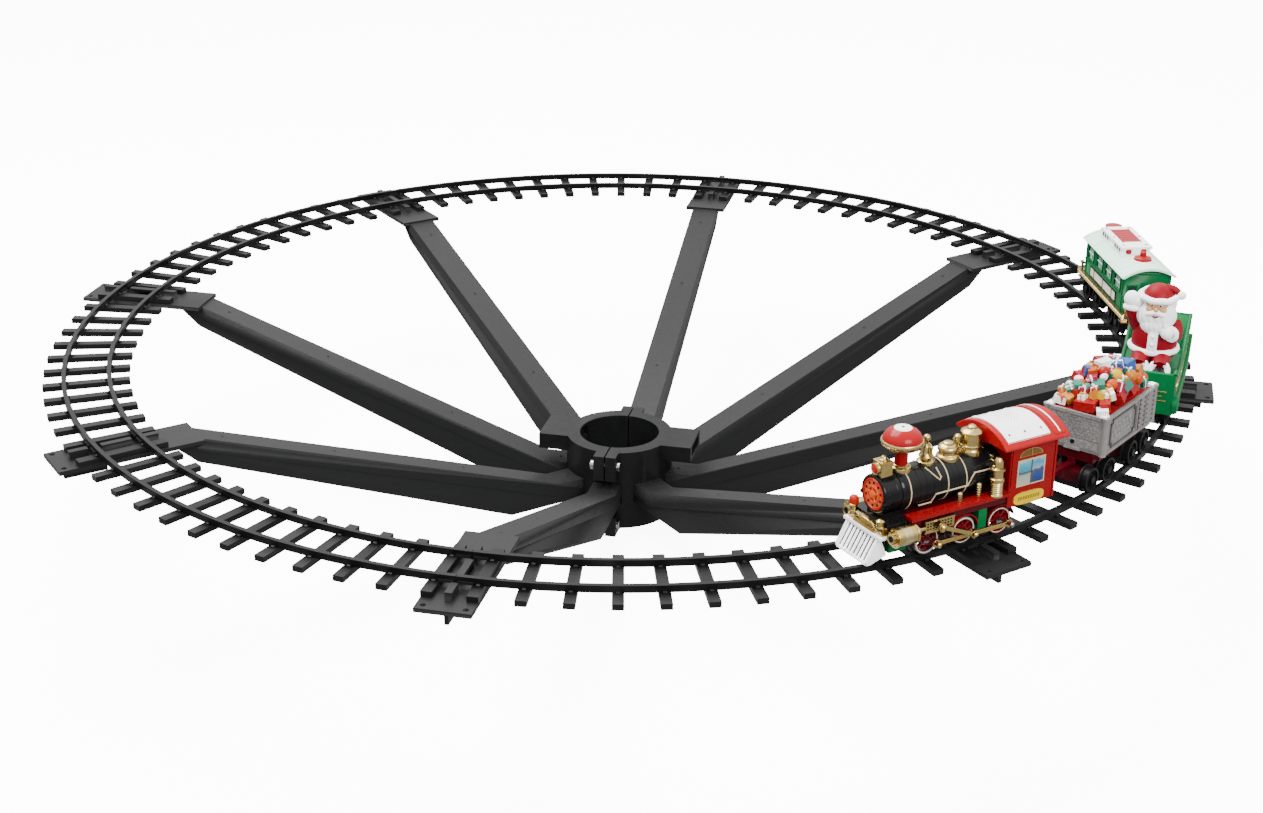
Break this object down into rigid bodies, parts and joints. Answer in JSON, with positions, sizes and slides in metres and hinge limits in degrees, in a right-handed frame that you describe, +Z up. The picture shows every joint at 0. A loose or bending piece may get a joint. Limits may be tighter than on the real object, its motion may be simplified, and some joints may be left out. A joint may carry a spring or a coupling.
{
  "type": "model train",
  "caption": "Toy steam train with open goods, sleigh and passenger wagons on a round spoked track that clamps to a tree trunk.",
  "frame": {"origin": "on the trunk clamp's axis at the underside of the hub", "axes": "+Z up along the trunk, away from the floor; +X to the right and +Y away from a viewer who has the locomotive at the front right"},
  "size_m": [0.9466, 0.9466, 0.2642],
  "materials": {
    "black_plastic": "satin moulded black",
    "bolt_steel": "bright zinc plated",
    "green_plastic": "glossy green",
    "boiler_black": "glossy black",
    "gold": "vacuum plated gold",
    "red_gloss": "glossy red",
    "wheel_red": "glossy red with a pale rim",
    "white_plastic": "glossy white",
    "switch_black": "matt black",
    "dark_red": "glossy dark red",
    "silver_grey": "silver grey paint",
    "parcels": "painted parcels in mixed colours",
    "figure_red": "painted vinyl",
    "running_gear": "dark moulded"
  },
  "bodies": {
    "ring": {"hub_half_right": "black_plastic", "hub_half_left": "black_plastic", "clamp_bolts": "bolt_steel", "spokes": "black_plastic", "track_section_1": "black_plastic", "track_section_2": "black_plastic", "track_section_3": "black_plastic", "track_section_4": "black_plastic", "track_section_5": "black_plastic", "track_section_6": "black_plastic", "track_section_7": "black_plastic", "track_section_8": "black_plastic"},
    "jaw_right": {"grip_jaw_right": "black_plastic"},
    "jaw_left": {"grip_jaw_left": "black_plastic"},
    "locomotive": {"loco_chassis": "green_plastic", "boiler": "boiler_black", "smokebox": "boiler_black", "smokestack": "red_gloss", "steam_dome": "gold", "sand_dome": "gold", "bell": "gold", "headlamp": "gold", "cab": "red_gloss", "cab_roof": "red_gloss", "cowcatcher": "white_plastic", "front_beam": "gold", "steam_cylinders": "gold", "air_pumps": "gold"},
    "switch": {"power_switch": "switch_black"},
    "drivers_front": {"driving_wheels_front": "wheel_red"},
    "drivers_middle": {"driving_wheels_middle": "wheel_red"},
    "drivers_rear": {"driving_wheels_rear": "wheel_red"},
    "rod_left": {"side_rod_left": "gold"},
    "rod_right": {"side_rod_right": "gold"},
    "gift_wagon": {"gift_underframe": "dark_red", "gift_tub": "silver_grey", "gift_pile": "parcels"},
    "gift_bogie_front": {"gift_bogie_front": "running_gear"},
    "gift_bogie_front_front_wheels": {"gift_bogie_front_front_wheels": "running_gear"},
    "gift_bogie_front_rear_wheels": {"gift_bogie_front_rear_wheels": "running_gear"},
    "gift_bogie_rear": {"gift_bogie_rear": "running_gear"},
    "gift_bogie_rear_front_wheels": {"gift_bogie_rear_front_wheels": "running_gear"},
    "gift_bogie_rear_rear_wheels": {"gift_bogie_rear_rear_wheels": "running_gear"},
    "sleigh_wagon": {"sleigh": "green_plastic", "figure": "figure_red"},
    "sleigh_bogie_front": {"sleigh_bogie_front": "running_gear"},
    "sleigh_bogie_front_front_wheels": {"sleigh_bogie_front_front_wheels": "running_gear"},
    "sleigh_bogie_front_rear_wheels": {"sleigh_bogie_front_rear_wheels": "running_gear"},
    "sleigh_bogie_rear": {"sleigh_bogie_rear": "running_gear"},
    "sleigh_bogie_rear_front_wheels": {"sleigh_bogie_rear_front_wheels": "running_gear"},
    "sleigh_bogie_rear_rear_wheels": {"sleigh_bogie_rear_rear_wheels": "running_gear"},
    "coach": {"coach_underframe": "gold", "coach_body": "green_plastic", "coach_roof": "white_plastic"},
    "coach_bogie_front": {"coach_bogie_front": "running_gear"},
    "coach_bogie_front_front_wheels": {"coach_bogie_front_front_wheels": "running_gear"},
    "coach_bogie_front_rear_wheels": {"coach_bogie_front_rear_wheels": "running_gear"},
    "coach_bogie_rear": {"coach_bogie_rear": "running_gear"},
    "coach_bogie_rear_front_wheels": {"coach_bogie_rear_front_wheels": "running_gear"},
    "coach_bogie_rear_rear_wheels": {"coach_bogie_rear_rear_wheels": "running_gear"}
  },
  "joints": [
    {"name": "jaw_right_slide", "type": "slide", "parent": "ring", "child": "jaw_right", "axis": [-0.9751, 0.2215, 0], "range_m": [0, 0.015]},
    {"name": "jaw_left_slide", "type": "slide", "parent": "ring", "child": "jaw_left", "axis": [0.9751, -0.2215, 0], "range_m": [0, 0.015]},
    {"name": "train_travel", "type": "hinge", "parent": "ring", "child": "locomotive", "pos_m": [0, 0, 0.165], "axis": [0, 0, -1], "continuous": true},
    {"name": "switch_slide", "type": "slide", "parent": "locomotive", "child": "switch", "axis": [0.5038, -0.8638, 0], "range_m": [-0.0032, 0.0032]},
    {"name": "drivers_front_spin", "type": "hinge", "parent": "locomotive", "child": "drivers_front", "pos_m": [0.19182, -0.38846, 0.17465], "axis": [0.5038, -0.8638, 0], "continuous": true},
    {"name": "drivers_middle_spin", "type": "hinge", "parent": "locomotive", "child": "drivers_middle", "pos_m": [0.21773, -0.37335, 0.17465], "axis": [0.5038, -0.8638, 0], "continuous": true},
    {"name": "drivers_rear_spin", "type": "hinge", "parent": "locomotive", "child": "drivers_rear", "pos_m": [0.24365, -0.35824, 0.17465], "axis": [0.5038, -0.8638, 0], "continuous": true},
    {"name": "rod_left_turn", "type": "hinge", "parent": "drivers_middle", "child": "rod_left", "pos_m": [0.22032, -0.37184, 0.17465], "axis": [0.5038, -0.8638, 0], "continuous": true},
    {"name": "rod_right_turn", "type": "hinge", "parent": "drivers_middle", "child": "rod_right", "pos_m": [0.22032, -0.37184, 0.17465], "axis": [0.5038, -0.8638, 0], "continuous": true},
    {"name": "gift_travel", "type": "hinge", "parent": "ring", "child": "gift_wagon", "pos_m": [0, 0, 0.165], "axis": [0, 0, -1], "continuous": true},
    {"name": "gift_bogie_front_pivot", "type": "hinge", "parent": "gift_wagon", "child": "gift_bogie_front", "pos_m": [0.32235, -0.28865, 0.165], "axis": [0, 0, 1], "range_deg": [-1.5, 1.5]},
    {"name": "gift_bogie_front_front_wheels_spin", "type": "hinge", "parent": "gift_bogie_front", "child": "gift_bogie_front_front_wheels", "pos_m": [0.31468, -0.29722, 0.17385], "axis": [0.745, -0.6671, 0], "continuous": true},
    {"name": "gift_bogie_front_rear_wheels_spin", "type": "hinge", "parent": "gift_bogie_front", "child": "gift_bogie_front_rear_wheels", "pos_m": [0.33002, -0.28008, 0.17385], "axis": [0.745, -0.6671, 0], "continuous": true},
    {"name": "gift_bogie_rear_pivot", "type": "hinge", "parent": "gift_wagon", "child": "gift_bogie_rear", "pos_m": [0.35806, -0.24295, 0.165], "axis": [0, 0, 1], "range_deg": [-1.5, 1.5]},
    {"name": "gift_bogie_rear_front_wheels_spin", "type": "hinge", "parent": "gift_bogie_rear", "child": "gift_bogie_rear_front_wheels", "pos_m": [0.3516, -0.25246, 0.17385], "axis": [0.8275, -0.5615, 0], "continuous": true},
    {"name": "gift_bogie_rear_rear_wheels_spin", "type": "hinge", "parent": "gift_bogie_rear", "child": "gift_bogie_rear_rear_wheels", "pos_m": [0.36452, -0.23343, 0.17385], "axis": [0.8275, -0.5615, 0], "continuous": true},
    {"name": "sleigh_travel", "type": "hinge", "parent": "ring", "child": "sleigh_wagon", "pos_m": [0, 0, 0.165], "axis": [0, 0, -1], "continuous": true},
    {"name": "sleigh_bogie_front_pivot", "type": "hinge", "parent": "sleigh_wagon", "child": "sleigh_bogie_front", "pos_m": [0.39698, -0.17216, 0.165], "axis": [0, 0, 1], "range_deg": [-1.5, 1.5]},
    {"name": "sleigh_bogie_front_front_wheels_spin", "type": "hinge", "parent": "sleigh_bogie_front", "child": "sleigh_bogie_front_front_wheels", "pos_m": [0.3924, -0.18271, 0.17385], "axis": [0.9174, -0.3979, 0], "continuous": true},
    {"name": "sleigh_bogie_front_rear_wheels_spin", "type": "hinge", "parent": "sleigh_bogie_front", "child": "sleigh_bogie_front_rear_wheels", "pos_m": [0.40155, -0.16161, 0.17385], "axis": [0.9174, -0.3979, 0], "continuous": true},
    {"name": "sleigh_bogie_rear_pivot", "type": "hinge", "parent": "sleigh_wagon", "child": "sleigh_bogie_rear", "pos_m": [0.41476, -0.12329, 0.165], "axis": [0, 0, 1], "range_deg": [-1.5, 1.5]},
    {"name": "sleigh_bogie_rear_front_wheels_spin", "type": "hinge", "parent": "sleigh_bogie_rear", "child": "sleigh_bogie_rear_front_wheels", "pos_m": [0.41149, -0.13432, 0.17385], "axis": [0.9585, -0.2849, 0], "continuous": true},
    {"name": "sleigh_bogie_rear_rear_wheels_spin", "type": "hinge", "parent": "sleigh_bogie_rear", "child": "sleigh_bogie_rear_rear_wheels", "pos_m": [0.41804, -0.11227, 0.17385], "axis": [0.9585, -0.2849, 0], "continuous": true},
    {"name": "coach_travel", "type": "hinge", "parent": "ring", "child": "coach", "pos_m": [0, 0, 0.165], "axis": [0, 0, -1], "continuous": true},
    {"name": "coach_bogie_front_pivot", "type": "hinge", "parent": "coach", "child": "coach_bogie_front", "pos_m": [0.43257, 0.01051, 0.165], "axis": [0, 0, 1], "range_deg": [-1.5, 1.5]},
    {"name": "coach_bogie_front_front_wheels_spin", "type": "hinge", "parent": "coach_bogie_front", "child": "coach_bogie_front_front_wheels", "pos_m": [0.43285, -0.00099, 0.17385], "axis": [0.9997, 0.0243, 0], "continuous": true},
    {"name": "coach_bogie_front_rear_wheels_spin", "type": "hinge", "parent": "coach_bogie_front", "child": "coach_bogie_front_rear_wheels", "pos_m": [0.43229, 0.02201, 0.17385], "axis": [0.9997, 0.0243, 0], "continuous": true},
    {"name": "coach_bogie_rear_pivot", "type": "hinge", "parent": "coach", "child": "coach_bogie_rear", "pos_m": [0.42663, 0.07222, 0.165], "axis": [0, 0, 1], "range_deg": [-1.5, 1.5]},
    {"name": "coach_bogie_rear_front_wheels_spin", "type": "hinge", "parent": "coach_bogie_rear", "child": "coach_bogie_rear_front_wheels", "pos_m": [0.42855, 0.06088, 0.17385], "axis": [0.986, 0.1669, 0], "continuous": true},
    {"name": "coach_bogie_rear_rear_wheels_spin", "type": "hinge", "parent": "coach_bogie_rear", "child": "coach_bogie_rear_rear_wheels", "pos_m": [0.42471, 0.08356, 0.17385], "axis": [0.986, 0.1669, 0], "continuous": true}
  ],
  "couplings": [
    {"joint": "drivers_front_spin", "follows": "train_travel", "ratio": 45.073},
    {"joint": "drivers_middle_spin", "follows": "train_travel", "ratio": 45.073},
    {"joint": "drivers_rear_spin", "follows": "train_travel", "ratio": 45.073},
    {"joint": "rod_left_turn", "follows": "train_travel", "ratio": -45.073},
    {"joint": "rod_right_turn", "follows": "train_travel", "ratio": -45.073},
    {"joint": "gift_travel", "follows": "train_travel", "ratio": 1},
    {"joint": "gift_bogie_front_front_wheels_spin", "follows": "train_travel", "ratio": 49.17},
    {"joint": "gift_bogie_front_rear_wheels_spin", "follows": "train_travel", "ratio": 49.17},
    {"joint": "gift_bogie_rear_front_wheels_spin", "follows": "train_travel", "ratio": 49.17},
    {"joint": "gift_bogie_rear_rear_wheels_spin", "follows": "train_travel", "ratio": 49.17},
    {"joint": "sleigh_travel", "follows": "train_travel", "ratio": 1},
    {"joint": "sleigh_bogie_front_front_wheels_spin", "follows": "train_travel", "ratio": 49.17},
    {"joint": "sleigh_bogie_front_rear_wheels_spin", "follows": "train_travel", "ratio": 49.17},
    {"joint": "sleigh_bogie_rear_front_wheels_spin", "follows": "train_travel", "ratio": 49.17},
    {"joint": "sleigh_bogie_rear_rear_wheels_spin", "follows": "train_travel", "ratio": 49.17},
    {"joint": "coach_travel", "follows": "train_travel", "ratio": 1},
    {"joint": "coach_bogie_front_front_wheels_spin", "follows": "train_travel", "ratio": 49.17},
    {"joint": "coach_bogie_front_rear_wheels_spin", "follows": "train_travel", "ratio": 49.17},
    {"joint": "coach_bogie_rear_front_wheels_spin", "follows": "train_travel", "ratio": 49.17},
    {"joint": "coach_bogie_rear_rear_wheels_spin", "follows": "train_travel", "ratio": 49.17}
  ]
}
